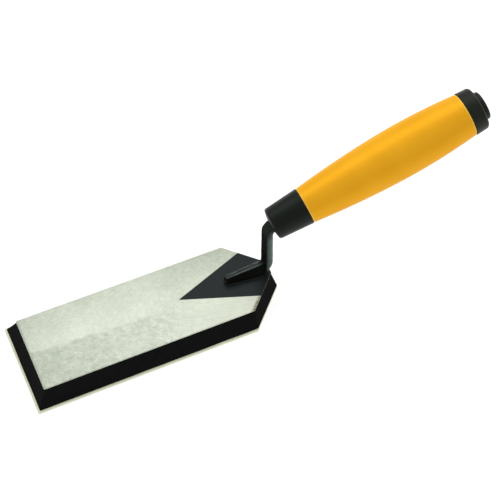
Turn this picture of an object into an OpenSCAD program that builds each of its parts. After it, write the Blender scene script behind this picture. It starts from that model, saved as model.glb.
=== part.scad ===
// Margin float: a flat steel trowel blade on a bevelled foam-rubber pad with a gum-rubber face,
// welded to a cranked forged tang that carries a barrel-shaped handle.
//
// The origin is the centre of the working face, on the surface that the float is worked on.
// +X runs from the toe towards the handle, +Y to the left and +Z up.

/* [Blade] */
// Length of the blade from the toe to the heel
blade_length = 152.4; // [120:0.1:200]
// Width of the blade
blade_width = 50.8; // [40:0.1:80]
// Thickness of the blade
blade_thickness = 1.0; // [0.8:0.1:2]
// Length of the stretch that tapers in to the heel
heel_taper_length = 20.4; // [10:0.1:30]
// Width of the square end of the heel
heel_width = 8.7; // [8.4:0.1:20]

/* [Heel lacquer] */
// Length of the black area from its point to the heel
lacquer_length = 58.8; // [40:0.1:90]
// Length along X of the stretch of each slanting edge that is lacquered
lacquer_edge_length = 12.6; // [6:0.1:18]
// Thickness of the coat
lacquer_thickness = 0.1; // [0.05:0.05:0.3]

/* [Pad] */
// Thickness of the foam-rubber pad
pad_thickness = 11.2; // [6:0.1:20]
// How far the foot of the pad stands out past the blade at the toe
pad_toe_flare = 5.9; // [0:0.1:10]
// How far it stands out past each long side
pad_side_flare = 5.4; // [0:0.1:10]
// How far it stands out past each slanting edge of the heel
pad_taper_flare = 3.9; // [0:0.1:8]
// How far it stands out past the square end of the heel
pad_heel_flare = 3.1; // [0:0.1:8]
// How far the bevel is hollowed, as a share of the flare
pad_hollow = 0.03; // [0:0.01:0.2]
// Thickness of each layer of contact cement
cement_thickness = 0.2; // [0.1:0.05:0.5]

/* [Gum-rubber face] */
// Thickness of the gum-rubber sheet
face_thickness = 1.6; // [1:0.1:6]
// How far the sheet stands out past the pad at the toe
face_toe_lip = 1.1; // [0:0.1:3]
// How far it stands out past the pad along each long side
face_side_lip = 0.8; // [0:0.1:3]

/* [Tang foot] */
// Distance from the toe of the blade to the front end of the foot
foot_start = 123.2; // [110:0.1:130]
// Height of the foot at its front end
foot_front_height = 5.3; // [3:0.1:8]
// Height of the foot where it meets the shank
foot_back_height = 8.1; // [6:0.1:12]
// Width of the flat top of the foot at its front end
foot_front_top = 2.9; // [1.5:0.1:5]
// Width of the flat top of the foot at the shank
foot_back_top = 4.0; // [2:0.1:6]
// Width of the foot's base at its front end
foot_front_base = 3.2; // [3:0.1:8]
// Width of the foot's base at the shank
foot_back_base = 10.8; // [8:0.1:12]
// How far the front end leans back from its base to its top
foot_front_lean = 1.0; // [0:0.1:2]
// Width of the weld along each side of the foot
weld_width = 1.4; // [0.5:0.1:1.6]
// Height of the welds
weld_height = 0.9; // [0.5:0.1:1.5]
// Distance from the toe of the blade to the end of the welds
weld_end = 147; // [140:0.5:149]

/* [Tang shank] */
// Width of the flat shank
shank_width = 8.5; // [6:0.1:10]
// Width of the shank where it goes into the collar
neck_width = 6.6; // [5:0.1:8]
// Thickness of the shank
shank_thickness = 4.2; // [3:0.1:5]
// Distance from the toe of the blade to the middle of the upright shank
shank_x = 151.4; // [148:0.1:153]
// Outer radius of the knee between the foot and the shank
knee_radius = 10.5; // [7:0.5:11]
// Radius of the upper bend at the middle of the shank's thickness
bend_radius = 6; // [5:0.5:8]
// Diameter of the spike inside the handle
spike_diameter = 6; // [5:0.5:7]
// How far the spike reaches into the handle
spike_reach = 92; // [60:1:110]

/* [Handle] */
// Angle of the handle above the blade
handle_angle = 17.4; // [10:0.1:25]
// Distance from the toe of the blade to the middle of the handle's front end
handle_x = 154.2; // [150:0.1:160]
// Height of the middle of the handle's front end above the blade
handle_z = 41.6; // [38:0.1:50]
// Length of the collar
collar_length = 22.0; // [15:0.1:30]
// Diameter of the collar at its front end
collar_front_diameter = 19.8; // [18:0.1:24]
// Diameter of the collar where it meets the grip
collar_back_diameter = 22.8; // [21:0.1:26]
// How far the collar's front face bulges
collar_dome = 1.0; // [0.5:0.1:2]
// Length of the grip
grip_length = 107.8; // [90:0.1:130]
// Greatest diameter of the grip
grip_diameter = 31.1; // [28:0.1:36]
// Diameter of the grip where it meets the collar
grip_front_diameter = 22.4; // [20:0.1:26]
// Diameter of the grip at its back end
grip_back_diameter = 26.6; // [24:0.1:30]
// Where the grip is thickest, as a share of its length
grip_peak = 0.61; // [0.4:0.01:0.7]
// Diameter of the core inside the grip
core_diameter = 17; // [14:0.5:19]

/* [End cap] */
// Length of the end cap
cap_length = 8.6; // [5:0.1:15]
// Diameter of the end cap at the grip
cap_diameter = 27.2; // [24:0.1:32]
// Diameter of the button in the end of the cap
button_diameter = 17.4; // [12:0.1:20]
// How far the button stands out of the cap
button_height = 3.3; // [1:0.1:6]

/* [Hidden] */

$fn = 96;
rim_steps = 6;
dome_steps = 12;
cut_margin = 1;

// Levels of the layers under the blade
face_cement_z = face_thickness;
pad_z = face_cement_z + cement_thickness;
pad_cement_z = pad_z + pad_thickness;
blade_z = pad_cement_z + cement_thickness;
blade_top = blade_z + blade_thickness;

// The toe edge of the blade, which puts the middle of the working face at the origin
face_front = pad_toe_flare + face_toe_lip;
face_length = face_front + blade_length + pad_heel_flare;
blade_toe_x = face_front - face_length / 2;

// The slanting edge of the heel as a line: taper_normal * [x, y] = taper_reach
taper_rise = (blade_width - heel_width) / 2;
taper_edge = norm([heel_taper_length, taper_rise]);
taper_normal = [taper_rise, heel_taper_length] / taper_edge;
taper_start = blade_length - heel_taper_length;
taper_reach = taper_normal * [taper_start, blade_width / 2];

// The share of its flare that the bevel stands out, at a depth from 0 (blade) to 1 (foot of the pad):
// a straight slope, less a parabola that is deepest halfway down
pad_levels = 6;
function bevel_share(depth) = depth - 4 * pad_hollow * depth * (1 - depth);

// The tang, measured from the toe edge on top of the blade: the neck's middle lies neck_drop below the
// handle's axis, and the shank narrows to the neck from neck_taper_start above the blade
section_thickness = 0.01;
shank_front = shank_x - shank_thickness / 2;
shank_back = shank_x + shank_thickness / 2;
knee_x = shank_back - knee_radius;
neck_drop = 0.8;
bend_turn = 90 - handle_angle;
bend_tangent = bend_radius * tan(bend_turn / 2);
bend_corner_z = handle_z - (handle_x - shank_x) * tan(handle_angle) - neck_drop / cos(handle_angle);
bend_start_z = bend_corner_z - bend_tangent;
bend_steps = 16;
neck_taper_start = 22;

// The handle, measured along its axis from the front end of the collar: the flat neck ends inside the
// solid nose of the collar, the round spike starts inside the neck, and the core's spigot fills the rest
neck_end = 8;
spike_start = 5;
spike_tip = 4;
collar_wall_reach = 9;
spigot_diameter = 14;
collar_rim = 1.6;
grip_start = collar_length;
grip_end = grip_start + grip_length;
grip_peak_at = grip_start + grip_peak * grip_length;
grip_front_curve = 1.8;
grip_back_curve = 2;
grip_steps = 40;
cap_end = grip_end + cap_length;
cap_draft = 0.4;
cap_rim = 2.0;
cap_socket_diameter = 9;
button_rim = 1.2;
button_end = cap_end + button_height;
button_stem_reach = 14;

// Points along an arc of a circle, from one angle to another
function arc(centre, radius, from, to, steps) = [
    for (i = [0 : steps]) let (a = from + (to - from) * i / steps)
        centre + radius * [cos(a), sin(a)]
];

// The blade's outline, standing out past the toe, the sides, the tapers and the heel
function plan(toe, side, taper, heel) = let (
    front = -toe,
    back = blade_length + heel,
    half = blade_width / 2 + side,
    reach = taper_reach + taper,
    shoulder_x = (reach - taper_normal.y * half) / taper_normal.x,
    heel_half = (reach - taper_normal.x * back) / taper_normal.y
) [
    [front, -half], [shoulder_x, -half], [back, -heel_half],
    [back, heel_half], [shoulder_x, half], [front, half]
];

function pad_plan(share) = plan(
    pad_toe_flare * share, pad_side_flare * share, pad_taper_flare * share, pad_heel_flare * share
);

// From the toe edge of the blade at a height of its own
module at_toe(z) {
    translate([blade_toe_x, 0, z]) children();
}

// From the front end of the handle, with +Z along its axis and -X upwards
module at_handle() {
    at_toe(blade_top) translate([handle_x, 0, handle_z]) rotate([0, 90 - handle_angle, 0]) children();
}

// A slab with a plan outline
module slab(outline, thickness) {
    linear_extrude(thickness) polygon(outline);
}

// A solid through outlines that all have the same number of corners, listed from the bottom up
module stack(outlines, heights) {
    corners = len(outlines[0]);
    levels = len(outlines);
    points = [for (i = [0 : levels - 1]) for (p = outlines[i]) [p.x, p.y, heights[i]]];
    sides = [
        for (i = [0 : levels - 2]) for (j = [0 : corners - 1]) let (k = (j + 1) % corners)
            [i * corners + j, (i + 1) * corners + j, (i + 1) * corners + k, i * corners + k]
    ];
    bottom = [for (j = [0 : corners - 1]) j];
    top = [for (j = [corners - 1 : -1 : 0]) (levels - 1) * corners + j];
    polyhedron(points, concat([bottom, top], sides));
}

module gum_face() {
    outline = plan(
        pad_toe_flare + face_toe_lip, pad_side_flare + face_side_lip, pad_taper_flare, pad_heel_flare
    );
    color("cornsilk") at_toe(0) slab(outline, face_thickness);
}

module face_cement() {
    color("saddlebrown") at_toe(face_cement_z) slab(pad_plan(1), cement_thickness);
}

module foam_pad() {
    depths = [for (i = [0 : pad_levels]) 1 - i / pad_levels];
    outlines = [for (d = depths) pad_plan(bevel_share(d))];
    heights = [for (d = depths) pad_thickness * (1 - d)];
    color("black") at_toe(pad_z) stack(outlines, heights);
}

module pad_cement() {
    color("saddlebrown") at_toe(pad_cement_z) slab(pad_plan(0), cement_thickness);
}

module blade() {
    color("silver") at_toe(blade_z) slab(plan(0, 0, 0, 0), blade_thickness);
}

// Half the width of the foot's base at a distance from the toe of the blade
function foot_half(x) =
    (foot_front_base + (foot_back_base - foot_front_base) * (x - foot_start) / (shank_x - foot_start)) / 2;

// The base of the foot in plan as far as the end of the welds, with a margin along both sides
function foot_plan(margin) = let (
    front_half = foot_front_base / 2 + margin,
    back_half = foot_half(weld_end) + margin
) [
    [foot_start, -front_half], [weld_end, -back_half],
    [weld_end, back_half], [foot_start, front_half]
];

module heel_lacquer() {
    edge_x = blade_length - lacquer_edge_length;
    edge_y = (taper_reach - taper_normal.x * edge_x) / taper_normal.y;
    outline = [
        [blade_length - lacquer_length, 0], [edge_x, -edge_y], [blade_length, -heel_width / 2],
        [blade_length, heel_width / 2], [edge_x, edge_y]
    ];
    color("darkslategray") at_toe(blade_top) difference() {
        slab(outline, lacquer_thickness);
        translate([0, 0, -cut_margin]) slab(foot_plan(weld_width), 2 * cut_margin);
    }
}

// A thin cross-section of the foot at a distance from the toe: a roof shape with a flat top
module foot_section(x, base, top, height) {
    translate([x, 0, 0]) rotate([90, 0, 90]) linear_extrude(section_thickness)
        polygon([[-base / 2, 0], [base / 2, 0], [top / 2, height], [-top / 2, height]]);
}

// The foot: a ridge whose sides spread towards the shank
module foot() {
    hull() {
        foot_section(foot_start, foot_front_base, foot_front_base, section_thickness);
        foot_section(foot_start + foot_front_lean, foot_front_base, foot_front_top, foot_front_height);
        foot_section(shank_x, foot_back_base, foot_back_top, foot_back_height);
    }
}

// What lies under the outer curve of the knee, to be cut away
module below_knee() {
    rotate([90, 0, 0]) linear_extrude(2 * foot_back_base, center = true) difference() {
        translate([knee_x, -cut_margin]) square([knee_radius + cut_margin, knee_radius + cut_margin]);
        translate([knee_x, knee_radius]) circle(knee_radius);
    }
}

// A point of the neck, along the handle's axis from its front end and upwards from its own middle
function neck_point(along, up) = [
    handle_x + along * cos(handle_angle) - (up - neck_drop) * sin(handle_angle),
    handle_z + along * sin(handle_angle) + (up - neck_drop) * cos(handle_angle)
];

// The flat bar of the shank, up from the foot, round the upper bend and into the collar
module shank() {
    bend_centre = [shank_x + bend_radius, bend_start_z];
    half = shank_thickness / 2;
    outer = arc(bend_centre, bend_radius + half, 180, 180 - bend_turn, bend_steps);
    inner = arc(bend_centre, bend_radius - half, 180 - bend_turn, 180, bend_steps);
    neck = [neck_point(neck_end, half), neck_point(neck_end, -half)];
    intersection() {
        rotate([90, 0, 0]) linear_extrude(shank_width, center = true)
            polygon(concat([[shank_front, 0]], outer, neck, inner, [[shank_back, 0]]));
        neck_taper();
    }
}

// The shank seen from the front: full width at the bottom, narrower at the collar
module neck_taper() {
    top = 2 * handle_z;
    rotate([90, 0, 90]) linear_extrude(2 * blade_length) polygon([
        [-shank_width / 2, 0], [shank_width / 2, 0],
        [shank_width / 2, neck_taper_start], [neck_width / 2, handle_z - neck_drop],
        [neck_width / 2, top], [-neck_width / 2, top],
        [-neck_width / 2, handle_z - neck_drop], [-shank_width / 2, neck_taper_start]
    ]);
}

// The round spike, along the handle's axis
module spike() {
    translate([0, 0, spike_start])
        cylinder(h = spike_reach - spike_tip - spike_start, d = spike_diameter);
    translate([0, 0, spike_reach - spike_tip])
        cylinder(h = spike_tip, d1 = spike_diameter, d2 = spike_diameter / 2);
}

module tang() {
    color("dimgray") {
        at_toe(blade_top) difference() {
            union() {
                foot();
                shank();
            }
            below_knee();
        }
        at_handle() spike();
    }
}

// The weld beads along both sides of the foot's base
module welds() {
    color("gray") at_toe(blade_top) linear_extrude(weld_height) difference() {
        polygon(foot_plan(weld_width));
        polygon(foot_plan(0));
    }
}

module collar() {
    front = collar_front_diameter / 2;
    slope = (collar_back_diameter - collar_front_diameter) / 2 / collar_length;
    rim_radius = front - collar_rim;
    dome_radius = (pow(rim_radius, 2) + pow(collar_dome, 2)) / 2 / collar_dome;
    dome_half_angle = asin(rim_radius / dome_radius);
    dome = arc([0, dome_radius - collar_dome], dome_radius, -90, dome_half_angle - 90, dome_steps);
    rim = arc([rim_radius, collar_rim], collar_rim, -90, 0, rim_steps);
    back = [[collar_back_diameter / 2, collar_length], [0, collar_length]];
    color("black") difference() {
        at_handle() difference() {
            rotate_extrude() polygon(concat(dome, rim, back));
            translate([0, 0, collar_wall_reach])
                cylinder(h = collar_length, d = spigot_diameter);
            spike();
        }
        at_toe(blade_top) shank();
    }
}

module handle_core() {
    color("dimgray") at_handle() difference() {
        union() {
            translate([0, 0, collar_wall_reach])
                cylinder(h = collar_length - collar_wall_reach, d = spigot_diameter);
            translate([0, 0, grip_start]) cylinder(h = grip_length, d = core_diameter);
        }
        spike();
        translate([0, 0, grip_end - button_stem_reach])
            cylinder(h = button_stem_reach + cut_margin, d = cap_socket_diameter);
    }
}

// The grip's radius along the handle: a barrel that falls away on both sides of its peak
function grip_radius(t) = let (
    front = t < grip_peak_at,
    end_radius = (front ? grip_front_diameter : grip_back_diameter) / 2,
    span = front ? grip_peak_at - grip_start : grip_end - grip_peak_at,
    share = pow(abs(t - grip_peak_at) / span, front ? grip_front_curve : grip_back_curve)
) grip_diameter / 2 - (grip_diameter / 2 - end_radius) * share;

module grip_shell() {
    stations = [for (i = [0 : grip_steps]) grip_start + grip_length * i / grip_steps];
    outline = [for (t = stations) [grip_radius(t), t]];
    color("orange") at_handle() difference() {
        rotate_extrude() polygon(concat([[0, grip_start]], outline, [[0, grip_end]]));
        translate([0, 0, grip_start - cut_margin])
            cylinder(h = grip_length + 2 * cut_margin, d = core_diameter);
    }
}

module end_cap() {
    radius = cap_diameter / 2;
    back_radius = radius - cap_draft;
    rim = arc([back_radius - cap_rim, cap_end - cap_rim], cap_rim, 0, 90, rim_steps);
    color("black") at_handle() difference() {
        rotate_extrude() polygon(concat([[0, grip_end], [radius, grip_end]], rim, [[0, cap_end]]));
        translate([0, 0, grip_end - cut_margin])
            cylinder(h = cap_length + 2 * cut_margin, d = cap_socket_diameter);
    }
}

module end_button() {
    radius = button_diameter / 2;
    rim = arc([radius - button_rim, button_end - button_rim], button_rim, 0, 90, rim_steps);
    color("black") at_handle() {
        rotate_extrude() polygon(concat([[0, cap_end], [radius, cap_end]], rim, [[0, button_end]]));
        translate([0, 0, grip_end - button_stem_reach])
            cylinder(h = cap_end - grip_end + button_stem_reach, d = cap_socket_diameter);
    }
}

gum_face();
face_cement();
foam_pad();
pad_cement();
blade();
heel_lacquer();
tang();
welds();
collar();
handle_core();
grip_shell();
end_cap();
end_button();
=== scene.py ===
"""Looks for the margin float: a steel trowel blade on a black foam-rubber pad with a gum-rubber face,
a black forged tang and a yellow barrel handle with a black collar and end cap.

The model is in metres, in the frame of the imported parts: the origin is the middle of the working face,
+X runs towards the handle and +Z is up. Each group of sizes below names its own unit.
"""

import math

import bmesh
import bpy
from mathutils import Matrix, Vector, noise


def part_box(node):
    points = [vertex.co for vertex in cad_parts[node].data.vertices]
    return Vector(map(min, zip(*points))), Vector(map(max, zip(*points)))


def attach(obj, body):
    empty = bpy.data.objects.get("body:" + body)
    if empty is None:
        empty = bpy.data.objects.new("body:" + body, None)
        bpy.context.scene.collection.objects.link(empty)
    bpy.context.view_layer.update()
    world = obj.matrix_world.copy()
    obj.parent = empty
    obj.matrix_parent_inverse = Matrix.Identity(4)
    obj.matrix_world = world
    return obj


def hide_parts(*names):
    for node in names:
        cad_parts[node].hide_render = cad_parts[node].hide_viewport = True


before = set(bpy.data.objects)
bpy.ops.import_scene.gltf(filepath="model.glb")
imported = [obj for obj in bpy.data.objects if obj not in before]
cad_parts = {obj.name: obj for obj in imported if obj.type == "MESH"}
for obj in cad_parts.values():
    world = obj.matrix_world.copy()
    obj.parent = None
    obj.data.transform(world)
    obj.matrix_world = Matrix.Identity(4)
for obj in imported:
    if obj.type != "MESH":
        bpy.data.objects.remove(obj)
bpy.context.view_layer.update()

MM = 0.001

# The camera of the photograph, its angles in degrees
CAMERA_PLACE = Vector((-129.8, -437.6, 690.6)) * MM
CAMERA_AZIMUTH = -24.11
CAMERA_ELEVATION = 53.68
CAMERA_ROLL = -0.09
CAMERA_LENS = 98.64

# The studio, in metres. Radiances are in the units of the picture, where 1 is white. The floor lies just
# under the working face, and its glow is full up to the first of its two ends and gone at the second.
FLOOR_GAP = 0.02 * MM
FLOOR_REACH = 3.0
FLOOR_GLOW = 0.70
GLOW_ENDS = (0.8, 4.0)
ROOM_GLOW = 0.6
SOFTBOX_DISTANCE = 1.2
SOFTBOX_SHIFT = 0.15

# Most values of a noise texture lie between these two
NOISE_LOW = 0.3
NOISE_HIGH = 0.7

# The toe edge of the blade, on top, from which the blade, the pad and the tang are measured
BLADE_LOW, BLADE_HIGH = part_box("blade")
TOE = Vector((BLADE_LOW.x, 0, BLADE_HIGH.z))
PAD_LOW, PAD_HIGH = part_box("foam_pad")
FACE_LOW, FACE_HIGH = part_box("gum_face")

# Blade, pad and face, in millimetres. The flare is how far the foot of the pad stands out from the blade,
# and the lip is how far the face stands out from the pad. The hollow of the bevels is a share of the flare,
# and the cut edges of the pad are soft over a share of its thickness.
BLADE_LENGTH = 152.4
BLADE_WIDTH = 50.8
BLADE_THICKNESS = 1.0
TAPER_LENGTH = 20.4
HEEL_WIDTH = 8.7
PAD_FLARE = {"toe": 5.9, "side": 5.4, "taper": 3.9, "heel": 3.1}
PAD_HOLLOW = 0.03
PAD_EDGE_SHARE = 0.05
PAD_EDGE_CUT = 0.25
CEMENT_SETBACK = 0.35
FACE_LIP = {"toe": 1.1, "side": 0.8, "taper": 0.0, "heel": 0.0}
LACQUER_LENGTH = 58.8
LACQUER_EDGE_LENGTH = 12.6
LACQUER_THICKNESS = 0.1
LACQUER_OVERHANG = 0.05

# The line between the two halves of the ground steel, as the direction across it and the two places, in
# metres, between which one half turns into the other
SEAM_NORMAL = (0.043, 1, 0)
SEAM_ENDS = (-0.0056, -0.0014)
# The two ends of the steel's tones, and how far from the toe they change, in metres
STEEL_DARK = (0.43, 0.472, 0.39)
STEEL_LIGHT = (0.78, 0.815, 0.71)
STEEL_REACH = 0.13

# Tang and welds, in millimetres. Pairs of sizes are for the front end of the foot and for the shank, and
# the ripple of the welds turns by those radians for every millimetre.
FOOT_START = 123.2
FOOT_LEAN = 1.0
FOOT_HEIGHTS = (5.3, 8.1)
FOOT_TOPS = (2.9, 4.0)
FOOT_BASES = (3.2, 10.8)
FOOT_TIP_SHARE = 0.12
WELD_WIDTH = 1.4
WELD_HEIGHT = 0.9
WELD_START = FOOT_START + 0.3
WELD_END = 147.0
WELD_ROOT = 0.25
WELD_SINK = 0.05
WELD_RIPPLE = 0.07
WELD_RIPPLE_TURN = 4.1
WELD_TIP_SHARE = 1 / 12
SHANK_X = 151.4
SHANK_WIDTH = 8.5
NECK_WIDTH = 6.6
NECK_TAPER_START = 22.0
SHANK_THICKNESS = 4.2
KNEE_RADIUS = 10.5
BEND_RADIUS = 6.0
NECK_DROP = 0.8
NECK_END = 8.0
TANG_VOXEL = 0.18

# The faces of the shank along X, in metres
SHANK_FRONT = TOE.x + (SHANK_X - SHANK_THICKNESS / 2) * MM
SHANK_BACK = TOE.x + (SHANK_X + SHANK_THICKNESS / 2) * MM

# Handle, in millimetres. The diameters are for the front and the back of the collar, and for the front, the
# widest place and the back of the grip. The peak is the share of the grip's length up to its widest place.
HANDLE_ANGLE = math.radians(17.4)
HANDLE_X = 154.2
HANDLE_Z = 41.6
COLLAR_LENGTH = 22.0
COLLAR_DIAMETERS = (19.8, 22.8)
COLLAR_DOME = 1.0
COLLAR_RIM = 1.6
GRIP_LENGTH = 107.8
GRIP_DIAMETERS = (22.4, 31.1, 26.6)
GRIP_PEAK = 0.61
GRIP_CURVES = (1.8, 2.0)
GRIP_EDGE = 0.9
GRIP_END_RADIUS = 8.5
CAP_LENGTH = 8.6
CAP_DIAMETER = 27.2
CAP_DRAFT = 0.4
CAP_RIM = 2.0
BUTTON_DIAMETER = 17.4
BUTTON_HEIGHT = 3.3
BUTTON_RIM = 1.2
# Turned pieces close in a flat this small, so that their ends are shaded evenly
END_RADIUS = 0.1
# Where the black plastic starts to turn lighter and warmer, and where it is fully so, in metres from the toe
BUTT_TONE_ENDS = (0.20, 0.27)


# ---------------------------------------------------------------- outlines and meshes


def arc(centre, radius, start, end, steps):
    """Points along an arc, from one angle in radians to another."""
    angles = [start + (end - start) * i / steps for i in range(steps + 1)]
    return [Vector((centre[0] + radius * math.cos(a), centre[1] + radius * math.sin(a))) for a in angles]


def plan(toe=0.0, side=0.0, taper=0.0, heel=0.0):
    """The blade's outline from its toe edge, standing out by those amounts, in millimetres."""
    rise = (BLADE_WIDTH - HEEL_WIDTH) / 2
    normal = Vector((rise, TAPER_LENGTH)).normalized()
    reach = normal.dot(Vector((BLADE_LENGTH - TAPER_LENGTH, BLADE_WIDTH / 2))) + taper
    back = BLADE_LENGTH + heel
    half = BLADE_WIDTH / 2 + side
    shoulder = (reach - normal.y * half) / normal.x
    heel_half = (reach - normal.x * back) / normal.y
    near = [(-toe, -half), (shoulder, -half), (back, -heel_half)]
    return [Vector(p) for p in near] + [Vector((x, -y)) for x, y in reversed(near)]


def scaled(flare, share):
    """The same flare on every side of an outline, times a share."""
    return {side: amount * share for side, amount in flare.items()}


def added(flare, more):
    """Two flares added side by side."""
    return {side: flare[side] + more[side] for side in flare}


def inset(outline, amount):
    """A convex outline moved in by the same amount on every side."""
    moved = []
    count = len(outline)
    for i, corner in enumerate(outline):
        before = (corner - outline[i - 1]).normalized()
        after = (outline[(i + 1) % count] - corner).normalized()
        bisector = Vector((-before.y - after.y, before.x + after.x)).normalized()
        moved.append(corner + bisector * amount / bisector.dot(Vector((-before.y, before.x))))
    return moved


def soft_loop(outline, radius, side_steps=24, corner_steps=5):
    """A loop of points round an outline with rounded corners, with the same number along every side."""
    points = []
    count = len(outline)
    for i, corner in enumerate(outline):
        before = (corner - outline[i - 1]).normalized()
        after = (outline[(i + 1) % count] - corner).normalized()
        turn = before.angle(after)
        cut = radius * math.tan(turn / 2)
        start = corner - before * cut
        centre = start + Vector((-before.y, before.x)) * radius
        first = math.atan2(start.y - centre.y, start.x - centre.x)
        points += arc(centre, radius, first, first + turn, corner_steps)
        following = outline[(i + 1) % count]
        next_after = (outline[(i + 2) % count] - following).normalized()
        side_start = corner + after * cut
        side_end = following - after * radius * math.tan(after.angle(next_after) / 2)
        points += [side_start.lerp(side_end, k / side_steps) for k in range(1, side_steps)]
    return points


def new_object(name, vertices, faces, sharp=30.0):
    """A smooth-shaded mesh object whose edges over the sharp angle stay sharp."""
    mesh = bpy.data.meshes.new(name)
    mesh.from_pydata([tuple(v) for v in vertices], [], faces)
    bm = bmesh.new()
    bm.from_mesh(mesh)
    bmesh.ops.recalc_face_normals(bm, faces=bm.faces)
    bm.to_mesh(mesh)
    bm.free()
    mesh.polygons.foreach_set("use_smooth", [True] * len(mesh.polygons))
    mesh.set_sharp_from_angle(angle=math.radians(sharp))
    piece = bpy.data.objects.new(name, mesh)
    bpy.context.scene.collection.objects.link(piece)
    return piece


def tube_faces(levels, count, first=0):
    """The faces of a closed tube through levels of count vertices each, from the first vertex on."""
    faces = []
    for level in range(levels - 1):
        low = first + level * count
        high = low + count
        faces += [(low + i, low + (i + 1) % count, high + (i + 1) % count, high + i) for i in range(count)]
    last = first + (levels - 1) * count
    return faces + [tuple(reversed(range(first, first + count))), tuple(range(last, last + count))]


def loft(name, loops):
    """A closed mesh through loops of 3D points that all have the same number of points."""
    vertices = [p for loop in loops for p in loop]
    return new_object(name, vertices, tube_faces(len(loops), len(loops[0])))


def from_toe(x, y, z):
    """A point from millimetres behind the toe edge and above the blade."""
    return TOE + Vector((x, y, z)) * MM


def slab(name, loops_and_heights):
    """A slab through plan loops at heights in millimetres above the top of the blade."""
    return loft(name, [[from_toe(p.x, p.y, z) for p in loop] for loop, z in loops_and_heights])


HANDLE_TURN = Matrix.Rotation(math.pi / 2 - HANDLE_ANGLE, 4, "Y")
HANDLE_FRAME = Matrix.Translation(from_toe(HANDLE_X, 0, HANDLE_Z)) @ HANDLE_TURN
HANDLE_AXIS = HANDLE_FRAME.to_3x3() @ Vector((0, 0, 1))


def lathe(name, profile, segments=128):
    """A closed solid turned round the handle's axis from (radius, distance) pairs in millimetres."""
    angles = [math.tau * i / segments for i in range(segments)]
    loops = []
    for radius, along in profile:
        ring = [Vector((radius * math.cos(a), radius * math.sin(a), along)) * MM for a in angles]
        loops.append([HANDLE_FRAME @ point for point in ring])
    return loft(name, loops)


def roughen(piece, size, amount, seed):
    """Moves the vertices of a piece in and out a little along their normals, in millimetres."""
    mesh = piece.data
    offset = Vector((seed, seed * 0.7, seed * 1.3))
    normals = [v.normal.copy() for v in mesh.vertices]
    for vertex, normal in zip(mesh.vertices, normals):
        vertex.co += normal * noise.noise(vertex.co / (size * MM) + offset) * amount * MM
    mesh.update()


def finished(piece, node, material):
    """Gives a piece its material and puts it in place of its CAD node."""
    piece.data.materials.clear()
    piece.data.materials.append(material)
    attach(piece, "root")
    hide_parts(node)
    return piece


# ---------------------------------------------------------------- materials


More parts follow.
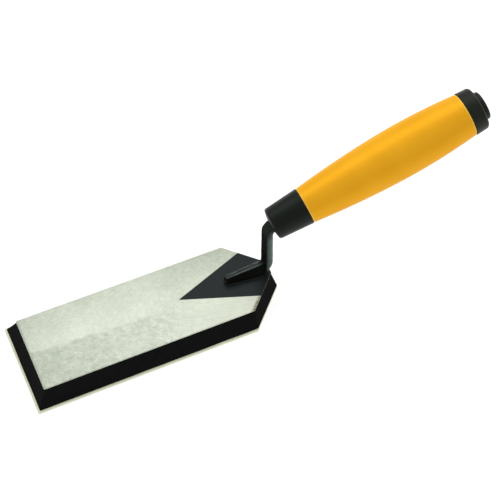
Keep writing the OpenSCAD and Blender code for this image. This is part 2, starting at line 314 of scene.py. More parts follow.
class Look:
    """A material being built: its node tree, its shader and short ways to add nodes."""

    def __init__(self, name, roughness=0.5, metallic=0.0, specular=0.5, tint=(1, 1, 1)):
        self.material = bpy.data.materials.new(name)
        self.material.use_nodes = True
        self.tree = self.material.node_tree
        self.shader = self.tree.nodes["Principled BSDF"]
        self.set("Roughness", roughness)
        self.set("Metallic", metallic)
        self.set("Specular IOR Level", specular)
        self.set("Specular Tint", (*tint, 1))
        coordinates = self.node("ShaderNodeTexCoord")
        self.place = coordinates.outputs["Object"]
        self.normal = coordinates.outputs["Normal"]

    def set(self, socket, value):
        """Gives an input of the shader a plain value."""
        self.shader.inputs[socket].default_value = value

    def node(self, kind, **values):
        """A new node of a kind, with those settings."""
        made = self.tree.nodes.new(kind)
        for name, value in values.items():
            setattr(made, name, value)
        return made

    def link(self, output, target):
        """Links an output to an input of any node."""
        self.tree.links.new(output, target)

    def to(self, output, socket):
        """Links an output to an input of the shader."""
        self.link(output, self.shader.inputs[socket])

    def along(self, direction, start, end, clamp=True):
        """0 to 1 as the place moves from start to end along a direction, in metres."""
        made = self.node("ShaderNodeVectorMath", operation="DOT_PRODUCT")
        made.inputs[1].default_value = direction
        self.link(self.place, made.inputs[0])
        return self.span(made.outputs["Value"], start, end, 0.0, 1.0, clamp)

    def facing(self, direction, start, end):
        """0 to 1 as the surface turns to face a direction, or its opposite."""
        made = self.node("ShaderNodeVectorMath", operation="DOT_PRODUCT")
        made.inputs[1].default_value = direction
        self.link(self.normal, made.inputs[0])
        return self.span(self.size_of(made.outputs["Value"]), start, end, 0.0, 1.0)

    def chosen(self, factor, first, second):
        """A value between two others: the first where the factor is 0, the second where it is 1."""
        made = self.node("ShaderNodeMix", data_type="FLOAT")
        self.link(factor, made.inputs["Factor"])
        self.link(first, made.inputs["A"])
        self.link(second, made.inputs["B"])
        return made.outputs["Result"]

    def stretched(self, lengths, turn=0.0):
        """The place, for a texture stretched to those lengths along axes that are turned about Z."""
        mapping = self.node("ShaderNodeMapping", vector_type="TEXTURE")
        mapping.inputs["Rotation"].default_value = (0, 0, turn)
        mapping.inputs["Scale"].default_value = lengths
        self.link(self.place, mapping.inputs["Vector"])
        return mapping.outputs["Vector"]

    def noise(self, size, detail=4.0, roughness=0.5, place=None, distortion=0.0):
        """Noise whose features are about size millimetres across."""
        made = self.node("ShaderNodeTexNoise")
        made.inputs["Scale"].default_value = 1 / (size * MM)
        made.inputs["Detail"].default_value = detail
        made.inputs["Roughness"].default_value = roughness
        made.inputs["Distortion"].default_value = distortion
        self.link(place or self.place, made.inputs["Vector"])
        return made.outputs["Fac"]

    def cells(self, size):
        """Distance to the middle of the nearest cell, for cells about size millimetres across."""
        made = self.node("ShaderNodeTexVoronoi")
        made.inputs["Scale"].default_value = 1 / (size * MM)
        self.link(self.place, made.inputs["Vector"])
        return made.outputs["Distance"]

    def span(self, value, from_low, from_high, to_low, to_high, clamp=True):
        """A value carried from one range to another."""
        made = self.node("ShaderNodeMapRange", clamp=clamp)
        ends = {"From Min": from_low, "From Max": from_high, "To Min": to_low, "To Max": to_high}
        for name, number in ends.items():
            made.inputs[name].default_value = number
        self.link(value, made.inputs["Value"])
        return made.outputs["Result"]

    def varied(self, noise, low, high):
        """Noise carried to the range from low to high."""
        return self.span(noise, NOISE_LOW, NOISE_HIGH, low, high)

    def shades(self, noise, first, second):
        """Noise as the colours between two shades."""
        return self.colours(noise, [(NOISE_LOW, first), (NOISE_HIGH, second)])

    def colours(self, value, stops):
        """A colour ramp with (position, colour) stops."""
        made = self.node("ShaderNodeValToRGB")
        ramp = made.color_ramp
        while len(ramp.elements) < len(stops):
            ramp.elements.new(0.5)
        for element, (position, colour) in zip(ramp.elements, stops):
            element.position = position
            element.color = (*colour, 1)
        self.link(value, made.inputs["Fac"])
        return made.outputs["Color"]

    def mixed(self, factor, first, second):
        """A colour between two others, each plain or an output: the first where the factor is 0, the second
        where it is 1."""
        made = self.node("ShaderNodeMix", data_type="RGBA")
        sockets = {s.identifier: s for s in made.inputs}
        self.link(factor, sockets["Factor_Float"])
        for colour, name in ((first, "A_Color"), (second, "B_Color")):
            if isinstance(colour, bpy.types.NodeSocket):
                self.link(colour, sockets[name])
            else:
                sockets[name].default_value = (*colour, 1)
        return {s.identifier: s for s in made.outputs}["Result_Color"]

    def size_of(self, value):
        """A value without its sign."""
        return self.combined(value, 0.0, "ABSOLUTE")

    def times(self, first, second):
        """Two values multiplied; the second may be a number."""
        return self.combined(first, second, "MULTIPLY")

    def combined(self, first, second, operation="ADD"):
        """Two values combined, added if nothing else is said; the second may be a number."""
        made = self.node("ShaderNodeMath", operation=operation)
        self.link(first, made.inputs[0])
        if isinstance(second, bpy.types.NodeSocket):
            self.link(second, made.inputs[1])
        else:
            made.inputs[1].default_value = second
        return made.outputs[0]

    def bump(self, *layers):
        """Bump from (height, depth in millimetres, strength) layers, one on top of the other."""
        normal = None
        for height, depth, strength in layers:
            made = self.node("ShaderNodeBump")
            made.inputs["Strength"].default_value = strength
            made.inputs["Distance"].default_value = depth * MM
            self.link(height, made.inputs["Height"])
            if normal is not None:
                self.link(normal, made.inputs["Normal"])
            normal = made.outputs["Normal"]
        self.to(normal, "Normal")


def gum_rubber():
    look = Look("gum_rubber", specular=0.3)
    mottle = look.noise(9, detail=5, roughness=0.6)
    grain = look.noise(0.35, detail=3)
    look.to(look.shades(mottle, (0.76, 0.78, 0.58), (0.84, 0.85, 0.66)), "Base Color")
    look.to(look.varied(grain, 0.6, 0.78), "Roughness")
    look.bump((grain, 0.05, 0.4), (look.noise(3), 0.1, 0.2))
    return look.material


def cement():
    look = Look("contact_cement", specular=0.4)
    streaks = look.noise(2.5, detail=4)
    look.to(look.colours(streaks, [(0.35, (0.10, 0.07, 0.03)), (0.65, (0.20, 0.15, 0.08))]), "Base Color")
    look.to(look.varied(streaks, 0.45, 0.7), "Roughness")
    look.bump((streaks, 0.1, 0.5))
    return look.material


def foam_rubber():
    """Black foam rubber, cut so that its fine pores show, with painted shade darkening the pores."""
    look = Look("foam_rubber", specular=0.03)
    pores = look.cells(0.55)
    blotches = look.noise(7, detail=5, roughness=0.6)
    body = look.shades(blotches, (0.0062, 0.0068, 0.0062), (0.0096, 0.0104, 0.0096))
    # Painted shade: the pores are darker than the foam between them.
    between_pores = look.span(pores, 0.15, 0.6, 0.0, 1.0)
    look.to(look.mixed(between_pores, (0.003, 0.003, 0.003), body), "Base Color")
    look.to(look.varied(blotches, 0.8, 0.95), "Roughness")
    look.bump((pores, 0.12, 0.45), (look.noise(2.2, detail=3), 0.2, 0.25))
    return look.material


def far_half_of_steel(look):
    """0 on the near half of the blade and 1 on the far half, with a wavering line between them."""
    waver = look.varied(look.noise(6), -0.3, 0.3)
    seam = look.combined(look.along(SEAM_NORMAL, *SEAM_ENDS), waver)
    return look.span(seam, 0.2, 0.8, 0.0, 1.0)


def ground_grain(look, far_half):
    """Fine streaks: almost lengthways on the far half and at a slant on the near half."""
    even = look.noise(1.2, detail=6, roughness=0.7, place=look.stretched((2.5, 1, 1), turn=0.12))
    slanted = look.noise(0.8, detail=6, roughness=0.75, place=look.stretched((6, 1, 1), turn=-0.42))
    return look.chosen(far_half, slanted, even)


def broad_tone(look, far_half, heelwards):
    """The steel's tone by its place: the near half lightens towards the heel, and the far half darkens
    towards its edge and both ends."""
    near = look.span(heelwards, 0.0, 0.95, 0.85, 1.12)
    outwards = look.along((0, 1, 0), 0.004, 0.025)
    far = look.span(outwards, 0.0, 1.0, 1.10, 0.94)
    far = look.combined(far, look.span(heelwards, 0.0, 0.25, -0.12, 0.0))
    far = look.combined(far, look.span(heelwards, 0.55, 1.0, 0.0, -0.14))
    return look.chosen(far_half, near, far)


def steel_spots(look, blotches, far_half, heelwards):
    """Spots that are stronger on the near half, where they fade towards the heel."""
    spots = look.varied(blotches, -1.0, 1.0)
    near = look.times(spots, look.span(heelwards, 0.6, 0.9, 0.20, 0.07))
    far = look.times(spots, 0.11)
    return look.chosen(far_half, near, far)


def taper_stain(look):
    """0 to 1 where the steel is stained, along the near taper of the heel."""
    rise = (BLADE_WIDTH - HEEL_WIDTH) / 2
    outwards = Vector((rise, -TAPER_LENGTH, 0)).normalized()
    reach = outwards.dot(TOE + Vector((BLADE_LENGTH, -HEEL_WIDTH / 2, 0)) * MM)
    edge = look.along(outwards, reach - 0.0021, reach - 0.0006)
    return look.times(edge, look.span(look.noise(2.0), 0.35, 0.55, 0.35, 1.0))


def blade_steel():
    """Steel ground in two passes that meet in a line near the middle of the blade: the far half evenly and
    the near half at a slant, a little darker and more blotchy towards the toe."""
    look = Look("blade_steel", metallic=0.85, specular=0.3)
    heelwards = look.along((1, 0, 0), BLADE_LOW.x, BLADE_LOW.x + STEEL_REACH)
    toe_edge = look.along((1, 0, 0), BLADE_LOW.x, BLADE_LOW.x + 0.0016)
    far_half = far_half_of_steel(look)
    grain = ground_grain(look, far_half)
    blotches = look.noise(3.2, detail=5, roughness=0.7, distortion=0.4)
    clouds = look.noise(17, detail=5, roughness=0.6)

    tone = broad_tone(look, far_half, heelwards)
    for change in (
        steel_spots(look, blotches, far_half, heelwards),
        look.varied(clouds, -0.04, 0.04),
        look.varied(grain, -0.13, 0.13),
        look.span(toe_edge, 0.0, 1.0, -0.30, 0.0),
    ):
        tone = look.combined(tone, change)
    steel = look.colours(look.span(tone, 0.7, 1.2, 0.0, 1.0), [(0.0, STEEL_DARK), (1.0, STEEL_LIGHT)])
    look.to(look.mixed(taper_stain(look), steel, (0.24, 0.23, 0.13)), "Base Color")
    look.to(look.span(look.combined(blotches, grain), 0.7, 1.3, 0.62, 0.76), "Roughness")
    look.bump((grain, 0.02, 0.3), (clouds, 0.1, 0.05))
    return look.material


def black_lacquer(name, low, high, roughness, orange_peel):
    """Black lacquer between two tones, with a skin that shows the metal's unevenness."""
    look = Look(name, specular=0.15)
    clouds = look.noise(6, detail=5, roughness=0.6)
    specks = look.noise(0.8, detail=4)
    unevenness = look.combined(clouds, specks)
    look.to(look.shades(clouds, low, high), "Base Color")
    look.to(look.span(unevenness, 0.7, 1.3, roughness - 0.06, roughness + 0.08), "Roughness")
    look.bump((look.noise(2.4, detail=3), 0.12, orange_peel), (specks, 0.03, orange_peel))
    return look.material


def heel_lacquer():
    """The smooth blue-black lacquer on the heel of the blade."""
    low, high = (0.0035, 0.0075, 0.0085), (0.0065, 0.0115, 0.0130)
    return black_lacquer("heel_lacquer", low, high, roughness=0.34, orange_peel=0.2)


def weld_lacquer():
    """The same lacquer over the rough welds, where it looks deeper and glossier."""
    low, high = (0.006, 0.005, 0.006), (0.011, 0.009, 0.010)
    return black_lacquer("weld_lacquer", low, high, roughness=0.28, orange_peel=0.5)


def shank_side_sheen_mask(look, backwards):
    """0 to 1 for the painted sheen on the shank's sides, behind its front edge, and fainter in the bend
    above.
    """
    behind_front = look.span(backwards, 0.0, 0.12, 0.0, 1.0)
    below_bend = look.along((0, 0, 1), TOE.z + 0.040, TOE.z + 0.031)
    side = look.times(look.facing((0, 1, 0), 0.6, 0.95), behind_front)
    return look.times(side, look.span(below_bend, 0.0, 1.0, 0.15, 1.0))


def painted_shank_sheen(look, backwards, clouds):
    """A painted sheen on the shank's sheared sides, lighter towards the back and in a sweep into the knee.
    """
    down_knee = look.combined(look.along((0, 0, 1), TOE.z + KNEE_RADIUS * MM, TOE.z), 3.0, "POWER")
    sweep = look.combined(backwards, look.times(down_knee, 0.8))
    tones = [(0.0, (0.034, 0.046, 0.043)), (0.5, (0.090, 0.118, 0.108)), (1.0, (0.19, 0.235, 0.21))]
    return look.colours(look.combined(sweep, look.varied(clouds, -0.12, 0.12)), tones)


def bend_top_sheen_mask(look):
    """0 to 1 over the outside of the upper bend, where a painted sheen goes."""
    in_bend = look.along((0, 0, 1), TOE.z + 0.031, TOE.z + 0.037)
    return look.times(look.facing((-0.7, 0, 0.7), 0.6, 0.95), in_bend)


def foot_top_sheen_mask(look):
    """0 to 1 on the top of the foot, up to the shank, where its painted sheen goes."""
    before_shank = look.along((1, 0, 0), SHANK_FRONT - 0.0005, SHANK_FRONT - 0.004)
    return look.times(look.facing((0, 0, 1), 0.86, 0.98), before_shank)


def wear_and_painted_sheen(look, streaks):
    """Lengthways worn streaks on a painted sheen, which is strongest along both edges of the foot's top."""
    off_centre = look.size_of(look.along((0, 1, 0), 0, 0.001, clamp=False))
    sheen_and_wear = look.combined(streaks, look.span(off_centre, 0.4, 1.3, -0.12, 0.10))
    return look.colours(sheen_and_wear, [(0.38, (0.030, 0.037, 0.034)), (0.62, (0.104, 0.124, 0.116))])


def foot_tip_highlight_mask(look):
    """0 to 1 in spots of painted highlight on the front end of the foot."""
    front = TOE.x + FOOT_START * MM
    front_end = look.along((1, 0, 0), front + 0.0016, front + 0.0009)
    return look.times(front_end, look.span(look.noise(1.2), 0.45, 0.6, 0.0, 0.8))


def tang_lacquer():
    """Thin black lacquer on a forging, with almost no reflection of its own. A grey-green painted sheen lies
    along the edges of the foot's top, on the sheared sides of the shank and over the bend."""
    # Almost no specular reflection: the tang's sheen is painted into its colour below.
    look = Look("tang_lacquer", specular=0.001, tint=(0.85, 1.0, 0.95))
    clouds = look.noise(3, detail=5, roughness=0.6)
    streaks = look.noise(0.5, detail=2, place=look.stretched((66, 1, 1)))
    backwards = look.along((1, 0, 0), SHANK_FRONT, SHANK_BACK, clamp=False)
    colour = look.shades(clouds, (0.0050, 0.0060, 0.0050), (0.0085, 0.0098, 0.0082))
    # Painted sheen on the sides of the shank.
    colour = look.mixed(shank_side_sheen_mask(look, backwards), colour, painted_shank_sheen(look, backwards, clouds))
    # Painted sheen over the outside of the bend.
    colour = look.mixed(bend_top_sheen_mask(look), colour, (0.021, 0.026, 0.021))
    # Painted sheen with worn streaks on the top of the foot.
    colour = look.mixed(foot_top_sheen_mask(look), colour, wear_and_painted_sheen(look, streaks))
    # Painted highlight on the front end of the foot.
    colour = look.mixed(foot_tip_highlight_mask(look), colour, (0.05, 0.06, 0.055))
    look.to(colour, "Base Color")
    look.to(look.varied(clouds, 0.36, 0.5), "Roughness")
    look.bump((look.noise(2.4, detail=3), 0.1, 0.3), (streaks, 0.03, 0.3))
    return look.material


def black_plastic():
    """Satin black plastic, a little lighter and warmer at the butt of the handle."""
    look = Look("black_plastic", specular=0.19, tint=(0.82, 1.0, 0.85))
    texture = look.noise(0.45, detail=3)
    clouds = look.noise(8, detail=4)
    clean = look.shades(clouds, (0.003, 0.0035, 0.003), (0.0045, 0.0052, 0.0045))
    # A lighter, warmer tone for the butt of the handle.
    butt_tone = look.shades(clouds, (0.009, 0.0092, 0.0065), (0.013, 0.0132, 0.0095))
    butt = look.along((1, 0, 0), *(TOE.x + end for end in BUTT_TONE_ENDS))
    look.to(look.mixed(butt, clean, butt_tone), "Base Color")
    look.to(look.span(look.combined(clouds, texture), 0.7, 1.3, 0.40, 0.50), "Roughness")
    look.bump((texture, 0.02, 0.25), (look.noise(5), 0.1, 0.08))
    return look.material


def yellow_plastic():
    """Satin yellow plastic with a painted highlight: paler along the thin rim at each end of the grip."""
    look = Look("yellow_plastic", metallic=0.16, specular=0.055, tint=(1, 0.62, 0.02))
    clouds = look.noise(16, detail=4, roughness=0.55)
    texture = look.noise(0.6, detail=3)
    body = look.shades(clouds, (0.875, 0.415, 0.016), (0.925, 0.445, 0.020))
    front = HANDLE_AXIS.dot(HANDLE_FRAME.translation) + COLLAR_LENGTH * MM
    back = front + GRIP_LENGTH * MM
    # Painted highlight: a pale colour along the rounded rim at each end of the grip.
    front_rim_highlight = look.along(HANDLE_AXIS, front + 0.0012, front + 0.0006)
    back_rim_highlight = look.along(HANDLE_AXIS, back - 0.0013, back - 0.0007)
    rim_highlights = look.combined(front_rim_highlight, back_rim_highlight, "MAXIMUM")
    look.to(look.mixed(rim_highlights, body, (1.0, 0.62, 0.10)), "Base Color")
    look.to(look.span(look.combined(clouds, texture), 0.7, 1.3, 0.34, 0.44), "Roughness")
    look.bump((texture, 0.015, 0.2), (look.noise(9), 0.15, 0.06))
    return look.material


def core_plastic():
    look = Look("core_plastic")
    clouds = look.noise(4)
    look.to(look.shades(clouds, (0.26, 0.26, 0.25), (0.33, 0.33, 0.32)), "Base Color")
    look.to(look.varied(clouds, 0.5, 0.65), "Roughness")
    look.bump((clouds, 0.05, 0.2))
    return look.material


# ---------------------------------------------------------------- blade, lacquer, pad and face


def edged_slab(name, outline, low, high, corner, edge, steps=4):
    """A slab between two heights whose corners and edges are rounded off, with a flat loop inside each
    edge that keeps the shading of the flat side even."""
    turns = [math.pi / 2 * k / steps for k in range(steps + 1)]
    levels = [(2 * edge, 0.0)] + [(edge * (1 - math.sin(t)), edge * (1 - math.cos(t))) for t in turns]
    levels = [(i, low + s) for i, s in levels] + [(i, high - s) for i, s in reversed(levels)]
    return slab(name, [(soft_loop(inset(outline, i), corner), z) for i, z in levels])


def make_blade(material):
    piece = edged_slab("steel_blade", plan(), -BLADE_THICKNESS, 0.0, corner=0.5, edge=0.12)
    return finished(piece, "blade", material)


def make_heel_lacquer(material):
    """The film of lacquer in a V over the heel, over the edges of the blade and thin along its own edges."""
    edge_x = BLADE_LENGTH - LACQUER_EDGE_LENGTH
    outline = plan()
    shoulder, heel = outline[1], outline[2]
    edge_y = shoulder.y + (heel.y - shoulder.y) * (edge_x - shoulder.x) / (heel.x - shoulder.x)
    near = [Vector((edge_x, edge_y)), heel.copy()]
    far = [Vector((p.x, -p.y)) for p in reversed(near)]
    film = inset([Vector((BLADE_LENGTH - LACQUER_LENGTH, 0))] + near + far, -LACQUER_OVERHANG)
    top = LACQUER_THICKNESS
    levels = [(0.0, -0.5 * BLADE_THICKNESS), (0.0, 0.0), (0.05, 0.7 * top), (0.16, top), (0.3, top)]
    piece = slab("heel_paint", [(soft_loop(inset(film, i), radius=0.35), z) for i, z in levels])
    return finished(piece, "heel_lacquer", material)


def make_pad(material):
    """The foam pad, with slightly hollow bevels and the soft edges of cut foam rubber."""
    top = (PAD_HIGH.z - TOE.z) / MM
    thickness = (PAD_HIGH.z - PAD_LOW.z) / MM
    depths = [0.0, 0.02, 0.05, 0.1] + [0.1 + 0.8 * i / 10 for i in range(1, 11)] + [0.95, 0.98, 1.0]
    loops = []
    for depth in reversed(depths):
        share = depth - 4 * PAD_HOLLOW * depth * (1 - depth)
        near_edge = max(0.0, 1 - min(depth, 1 - depth) / PAD_EDGE_SHARE)
        outline = inset(plan(**scaled(PAD_FLARE, share)), PAD_EDGE_CUT * near_edge ** 2)
        loops.append((soft_loop(outline, radius=0.6, side_steps=48), top - depth * thickness))
    piece = slab("foam_pad_cut", loops)
    roughen(piece, size=14, amount=0.12, seed=3.1)
    finished(piece, "foam_pad", material)
    return piece


def make_face(material):
    low = (FACE_LOW.z - TOE.z) / MM
    high = (FACE_HIGH.z - TOE.z) / MM
    piece = edged_slab("gum_sheet", plan(**added(PAD_FLARE, FACE_LIP)), low, high, corner=0.8, edge=0.25)
    return finished(piece, "gum_face", material)


def make_cement(name, node, flare, material):
    """A glue line between two layers, set back a little from their edges."""
    low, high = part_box(node)
    loop = soft_loop(inset(plan(**flare), CEMENT_SETBACK), radius=0.5)
    piece = slab(name, [(loop, (low.z - TOE.z) / MM), (loop, (high.z - TOE.z) / MM)])
    return finished(piece, node, material)


# ---------------------------------------------------------------- tang and welds


def knee_height(x):
    """How far the underside of the knee is above the blade, at a distance from the toe."""
    past = max(0.0, x - (SHANK_X + SHANK_THICKNESS / 2 - KNEE_RADIUS))
    return KNEE_RADIUS - math.sqrt(max(0.0, KNEE_RADIUS ** 2 - past ** 2))


def along_foot(ends, x):
    """A size of the foot between its front end and the shank."""
    share = (x - FOOT_START) / (SHANK_X - FOOT_START)
    return ends[0] + (ends[1] - ends[0]) * share


def foot_loops(steps=24):
    """Cross-sections of the foot from its blunt front end to the middle of the shank."""
    stations = [FOOT_START + FOOT_LEAN * s for s in (0.0, 0.25, 0.6)]
    lean_end = FOOT_START + FOOT_LEAN
    stations += [lean_end + (SHANK_X - lean_end) * i / steps for i in range(steps + 1)]
    loops = []
    for x in stations:
        lean = min(1.0, (x - FOOT_START) / FOOT_LEAN)
        height = along_foot(FOOT_HEIGHTS, x) * (FOOT_TIP_SHARE + (1 - FOOT_TIP_SHARE) * lean)
        top = along_foot(FOOT_TOPS, x) / 2
        base = along_foot(FOOT_BASES, x) / 2
        low = knee_height(x)
        low_half = base + low / height * (top - base)
        corners = [(-low_half, low), (low_half, low), (top, height), (-top, height)]
        loops.append([from_toe(x, y, z) for y, z in corners])
    return loops


def neck_point(along, up):
    """A point of the neck in (x, z), along the handle's axis and upwards from the neck's middle."""
    c, s = math.cos(HANDLE_ANGLE), math.sin(HANDLE_ANGLE)
    rise = up - NECK_DROP
    return Vector((HANDLE_X + along * c - rise * s, HANDLE_Z + along * s + rise * c))


def shank_profile(bend_steps=20, knee_steps=32):
    """The side view of the shank in (x, z), from the blade up and round into the collar."""
    half = SHANK_THICKNESS / 2
    turn = math.pi / 2 - HANDLE_ANGLE
    neck_fall = (HANDLE_X - SHANK_X) * math.tan(HANDLE_ANGLE) + NECK_DROP / math.cos(HANDLE_ANGLE)
    corner_z = HANDLE_Z - neck_fall
    centre = (SHANK_X + BEND_RADIUS, corner_z - BEND_RADIUS * math.tan(turn / 2))
    outer = arc(centre, BEND_RADIUS + half, math.pi, math.pi - turn, bend_steps)
    inner = arc(centre, BEND_RADIUS - half, math.pi - turn, math.pi, bend_steps)
    knee_centre = (SHANK_X + half - KNEE_RADIUS, KNEE_RADIUS)
    whole_knee = arc(knee_centre, KNEE_RADIUS, 0, -math.pi / 2, knee_steps)
    knee = [p for p in whole_knee if p.x > SHANK_X - half]
    front_low = Vector((SHANK_X - half, knee_height(SHANK_X - half)))
    return [front_low] + outer + [neck_point(NECK_END, half), neck_point(NECK_END, -half)] + inner + knee


def shank_half_width(z):
    """Half the width of the shank at a height above the blade."""
    share = min(1.0, max(0.0, (z - NECK_TAPER_START) / (HANDLE_Z - NECK_DROP - NECK_TAPER_START)))
    return (SHANK_WIDTH + (NECK_WIDTH - SHANK_WIDTH) * share) / 2


def make_tang(material):
    """The forged tang: the foot and the shank fused and smoothed so that all their edges are soft."""
    foot = loft("foot_form", foot_loops())
    profile = shank_profile()
    sides = [[from_toe(p.x, side * shank_half_width(p.y), p.y) for p in profile] for side in (-1, 1)]
    piece = loft("forged_tang", sides)
    union = piece.modifiers.new("fuse", "BOOLEAN")
    union.operation = "UNION"
    union.solver = "EXACT"
    union.object = foot
    remesh = piece.modifiers.new("remesh", "REMESH")
    remesh.mode = "VOXEL"
    remesh.voxel_size = TANG_VOXEL * MM
    remesh.use_smooth_shade = True
    smooth = piece.modifiers.new("soften", "SMOOTH")
    smooth.factor = 0.5
    smooth.iterations = 4
    applied = bpy.data.meshes.new_from_object(piece.evaluated_get(bpy.context.evaluated_depsgraph_get()))
    piece.modifiers.clear()
    piece.data = applied
    bpy.data.objects.remove(foot)
    roughen(piece, size=5.0, amount=0.10, seed=8.7)
    return finished(piece, "tang", material)


def make_welds(material, steps=60, section=10):
    """A painted, lightly rippled bead along each side of the foot, rounded off at both of its ends."""
    vertices, faces = [], []
    for side in (-1, 1):
        faces += tube_faces(steps + 1, section, first=len(vertices))
        for i in range(steps + 1):
            share = i / steps
            x = WELD_START + (WELD_END - WELD_START) * share
            root = along_foot(FOOT_BASES, x) / 2 - WELD_ROOT
            end = min(1.0, min(share, 1 - share) / WELD_TIP_SHARE)
            ripple = WELD_RIPPLE * math.sin(x * WELD_RIPPLE_TURN + side)
            size = math.sqrt(end * (2 - end)) * (1 + ripple)
            width = (WELD_WIDTH + WELD_ROOT) * max(size, 0.15)
            for k in range(section):
                a = math.pi * k / (section - 1)
                across = root + width * (1 - math.cos(a)) / 2
                up = WELD_HEIGHT * size * math.sin(a) - WELD_SINK
                vertices.append(from_toe(x, side * across, up))
    piece = new_object("weld_beads", vertices, faces, sharp=60.0)
    return finished(piece, "welds", material)


# ---------------------------------------------------------------- handle


def turned_rim(radius, along, size, start, end, steps=8):
    """An arc of a turned profile: (radius, distance) pairs round a corner."""
    return [(p.x, p.y) for p in arc((radius - size, along), size, start, end, steps)]


def make_collar(material):
    front, back = (d / 2 for d in COLLAR_DIAMETERS)
    flat = front - COLLAR_RIM
    dome = [(flat * s, -COLLAR_DOME * (1 - s * s)) for s in (0.02, 0.2, 0.4, 0.6, 0.8, 0.93)]
    rim = turned_rim(front, COLLAR_RIM, COLLAR_RIM, -math.pi / 2, 0)
    length = COLLAR_LENGTH - COLLAR_RIM
    sides = [(front + (back - front) * s, COLLAR_RIM + length * s) for s in (0.25, 0.5, 0.75, 0.96)]
    edge = [(back - cut, COLLAR_LENGTH - down) for cut, down in ((0.02, 0.3), (0.12, 0.05), (0.35, 0.0))]
    piece = lathe("front_collar", dome + rim + sides + edge + [(END_RADIUS, COLLAR_LENGTH)])
    return finished(piece, "collar", material)


def grip_radius(along):
    """The grip's radius at a distance from the front end of the collar."""
    start, end = COLLAR_LENGTH, COLLAR_LENGTH + GRIP_LENGTH
    peak = start + GRIP_PEAK * GRIP_LENGTH
    front, widest, back = (d / 2 for d in GRIP_DIAMETERS)
    if along < peak:
        return widest - (widest - front) * ((peak - along) / (peak - start)) ** GRIP_CURVES[0]
    return widest - (widest - back) * ((along - peak) / (end - peak)) ** GRIP_CURVES[1]


def make_grip(material, steps=60):
    """The barrel, with softly rounded edges. Its ends are closed under the collar and the cap."""
    start, end = COLLAR_LENGTH, COLLAR_LENGTH + GRIP_LENGTH
    drops = [(1.0, 0.0), (0.6, 0.07), (0.3, 0.22), (0.12, 0.5), (0.0, 1.0)]
    front = [(grip_radius(start) - GRIP_EDGE * drop, start + GRIP_EDGE * up) for up, drop in drops]
    back = [(grip_radius(end) - GRIP_EDGE * drop, end - GRIP_EDGE * up) for up, drop in drops]
    stations = [start + 1 + (GRIP_LENGTH - 2) * i / steps for i in range(steps + 1)]
    barrel = [(grip_radius(along), along) for along in stations]
    profile = [(GRIP_END_RADIUS, start)] + front[::-1] + barrel + back + [(GRIP_END_RADIUS, end)]
    piece = lathe("barrel_grip", profile)
    return finished(piece, "grip_shell", material)


def make_cap(material):
    start = COLLAR_LENGTH + GRIP_LENGTH
    end = start + CAP_LENGTH
    radius = CAP_DIAMETER / 2
    front = [(radius - 0.3, start), (radius - 0.1, start + 0.05), (radius, start + 0.25)]
    rim = turned_rim(radius - CAP_DRAFT, end - CAP_RIM, CAP_RIM, 0, math.pi / 2)
    piece = lathe("end_cap_shell", [(END_RADIUS, start)] + front + rim + [(END_RADIUS, end)])
    return finished(piece, "end_cap", material)


def make_button(material):
    start = COLLAR_LENGTH + GRIP_LENGTH + CAP_LENGTH
    end = start + BUTTON_HEIGHT
    radius = BUTTON_DIAMETER / 2
    rim = turned_rim(radius, end - BUTTON_RIM, BUTTON_RIM, 0, math.pi / 2)
    sunk = start - 0.3
    foot = [(radius - 0.1, sunk), (radius, start + 0.2)]
    piece = lathe("end_button_boss", [(END_RADIUS, sunk)] + foot + rim + [(END_RADIUS, end)])
    return finished(piece, "end_button", material)


# ---------------------------------------------------------------- the studio


def make_camera():
    azimuth = math.radians(CAMERA_AZIMUTH)
    elevation = math.radians(CAMERA_ELEVATION)
    level_back = Vector((math.sin(azimuth), -math.cos(azimuth), 0))
    back = level_back * math.cos(elevation) + Vector((0, 0, math.sin(elevation)))
    data = bpy.data.cameras.new("camera")
    data.sensor_width = 36
    data.lens = CAMERA_LENS
    data.clip_start = 0.01
    data.clip_end = 50
    camera = bpy.data.objects.new("camera", data)
    level = (-back).to_track_quat("-Z", "Y").to_matrix().to_4x4()
    roll = Matrix.Rotation(math.radians(CAMERA_ROLL), 4, "Z")
    camera.matrix_world = Matrix.Translation(CAMERA_PLACE) @ level @ roll
    bpy.context.scene.collection.objects.link(camera)
    bpy.context.scene.camera = camera


def make_floor():
    """A pale light table that glows a little round the float, so that it takes almost no shadow."""
    signs = [(-1, -1), (1, -1), (1, 1), (-1, 1)]
    corners = [(x * FLOOR_REACH, y * FLOOR_REACH, -FLOOR_GAP) for x, y in signs]
    floor = new_object("studio_floor", corners, [(0, 1, 2, 3)])
    look = Look("studio_floor", roughness=0.9, specular=0.0)
    look.to(look.shades(look.noise(400), (0.45, 0.45, 0.45), (0.46, 0.46, 0.46)), "Base Color")
    look.set("Emission Color", (1, 1, 1, 1))
    distance = look.node("ShaderNodeVectorMath", operation="LENGTH")
    look.link(look.place, distance.inputs[0])
    look.to(look.span(distance.outputs["Value"], *GLOW_ENDS, FLOOR_GLOW, 0.0), "Emission Strength")
    floor.data.materials.append(look.material)


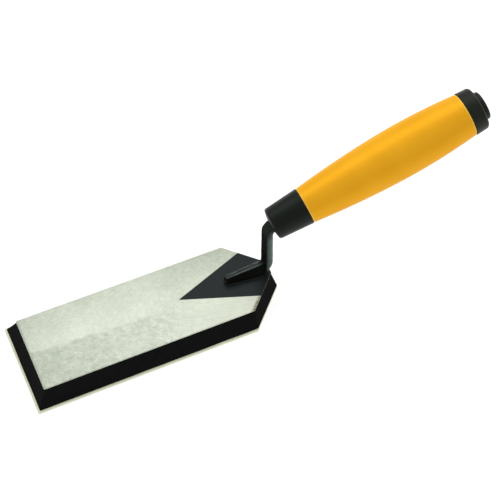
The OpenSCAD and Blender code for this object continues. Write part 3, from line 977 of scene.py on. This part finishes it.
def make_room():
    """An evenly lit pale room."""
    world = bpy.data.worlds.new("room")
    world.use_nodes = True
    background = world.node_tree.nodes["Background"]
    background.inputs["Color"].default_value = (1, 1, 1, 1)
    background.inputs["Strength"].default_value = ROOM_GLOW
    bpy.context.scene.world = world


def make_softbox(name, place, lengthways, direction, length, width, radiance):
    """A softbox that shines on a place from a direction, its long side lengthways."""
    direction = (direction - lengthways * direction.dot(lengthways)).normalized()
    data = bpy.data.lights.new(name, "AREA")
    data.shape = "RECTANGLE"
    data.size = length
    data.size_y = width
    data.energy = radiance * math.pi * length * width
    light = bpy.data.objects.new(name, data)
    turn = Matrix((lengthways, direction.cross(lengthways), direction)).transposed()
    light.matrix_world = Matrix.Translation(place + direction * SOFTBOX_DISTANCE) @ turn.to_4x4()
    bpy.context.scene.collection.objects.link(light)


def make_softboxes():
    """One softbox above and behind the handle, parallel to it, draws the light band along it; another
    from the far right lights the heel of the blade past the handle."""
    middle = HANDLE_FRAME @ Vector((0, 0, (COLLAR_LENGTH + GRIP_LENGTH / 2) * MM))
    make_softbox(
        "handle_softbox", middle + HANDLE_AXIS * SOFTBOX_SHIFT, lengthways=HANDLE_AXIS,
        direction=Vector((-0.26, 0.47, 0.84)), length=1.6, width=0.8, radiance=1.75,
    )
    make_softbox(
        "heel_softbox", middle, lengthways=Vector((-1, 1, 0)).normalized(),
        direction=Vector((0.62, 0.55, 0.56)), length=0.9, width=0.9, radiance=1.2,
    )


# ---------------------------------------------------------------- the model

make_camera()
bpy.context.scene.view_settings.view_transform = "Standard"
make_floor()
make_room()
make_softboxes()

glue = cement()
plastic = black_plastic()
make_face(gum_rubber())
make_cement("face_glue", "face_cement", PAD_FLARE, glue)
make_pad(foam_rubber())
make_cement("pad_glue", "pad_cement", {}, glue)
make_blade(blade_steel())
make_heel_lacquer(heel_lacquer())
make_tang(tang_lacquer())
make_welds(weld_lacquer())
make_collar(plastic)
make_grip(yellow_plastic())
make_cap(plastic)
make_button(plastic)

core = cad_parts["handle_core"]
core.data.materials.clear()
core.data.materials.append(core_plastic())
